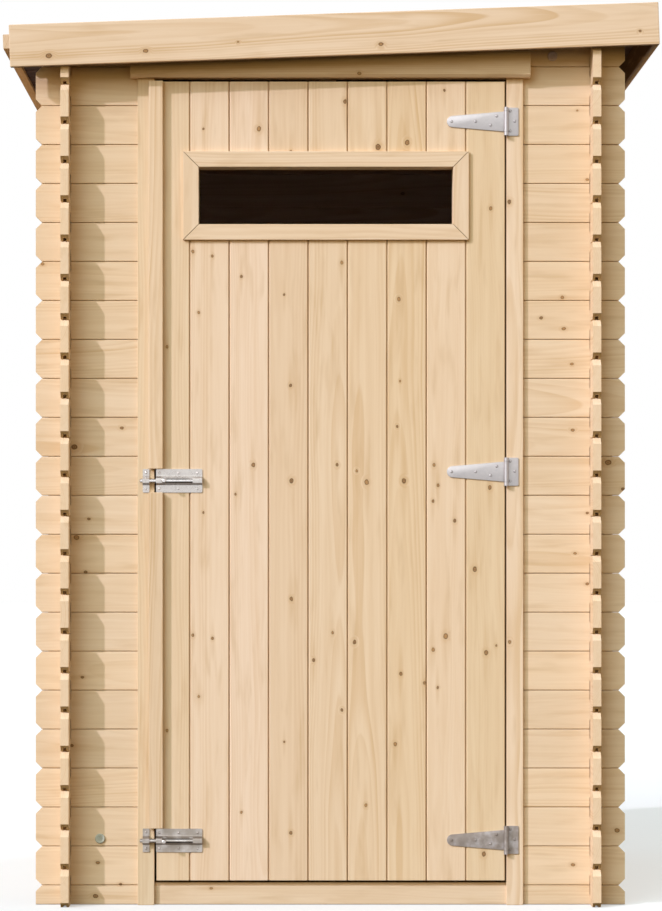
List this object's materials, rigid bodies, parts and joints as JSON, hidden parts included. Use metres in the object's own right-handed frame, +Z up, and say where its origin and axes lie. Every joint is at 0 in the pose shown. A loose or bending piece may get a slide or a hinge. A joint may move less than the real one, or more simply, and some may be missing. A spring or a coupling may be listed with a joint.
{
  "type": "wooden garden shed",
  "caption": "Garden shed of interlocking tongue-and-groove pine boards with a mono-pitch roof and deep fascia, and a boarded, bolted door with a low window.",
  "frame": {"origin": "centre of the whole shed's bounding box, on the ground", "axes": "+Z up, the door faces -Y, +X to the right as one faces the door, which is the roof's high side"},
  "size_m": [1.435, 1.332, 1.978],
  "materials": {
    "pine_boards": "planed, untreated",
    "pine_trim": "planed, untreated",
    "pine_rough": "sawn",
    "felt": "grit-faced bitumen felt",
    "zinc": "zinc-plated",
    "vent_plastic": "matte",
    "window_glass": "clear"
  },
  "bodies": {
    "frame": {"front_wall_left": "pine_boards", "front_wall_right": "pine_boards", "front_wall_header": "pine_boards", "door_sill": "pine_boards", "back_wall": "pine_boards", "left_wall": "pine_boards", "right_wall": "pine_boards", "left_door_jamb": "pine_trim", "right_door_jamb": "pine_trim", "door_lintel": "pine_trim", "floor_boards": "pine_rough", "floor_bearers": "pine_rough", "roof_deck": "pine_boards", "roof_felt": "felt", "roof_purlin": "pine_rough", "front_fascia": "pine_trim", "back_fascia": "pine_trim", "right_fascia": "pine_trim", "left_eaves_batten": "pine_trim", "lower_vent_cap": "vent_plastic", "upper_vent_cap": "vent_plastic", "top_hinge_leaf": "zinc", "middle_hinge_leaf": "zinc", "bottom_hinge_leaf": "zinc", "middle_bolt_keeper": "zinc", "bottom_bolt_keeper": "zinc"},
    "door": {"door_boards": "pine_boards", "door_ledges": "pine_trim", "window_inner_frame": "pine_rough", "window_glass": "window_glass", "window_trim_top": "pine_trim", "window_trim_bottom": "pine_trim", "window_trim_left": "pine_trim", "window_trim_right": "pine_trim", "upper_cover_strip": "pine_trim", "lower_cover_strip": "pine_trim", "top_hinge_strap": "zinc", "middle_hinge_strap": "zinc", "bottom_hinge_strap": "zinc", "middle_bolt_plate": "zinc", "bottom_bolt_plate": "zinc"},
    "middle_bolt": {"middle_bolt_rod": "zinc"},
    "bottom_bolt": {"bottom_bolt_rod": "zinc"}
  },
  "joints": [
    {"name": "door_hinge", "type": "hinge", "parent": "frame", "child": "door", "pos_m": [0.3865, -0.6095, 0.955], "axis": [0, 0, 1], "range_deg": [0, 150]},
    {"name": "middle_bolt_slide", "type": "slide", "parent": "door", "child": "middle_bolt", "axis": [1, 0, 0], "range_m": [0, 0.04]},
    {"name": "bottom_bolt_slide", "type": "slide", "parent": "door", "child": "bottom_bolt", "axis": [1, 0, 0], "range_m": [0, 0.04]}
  ]
}
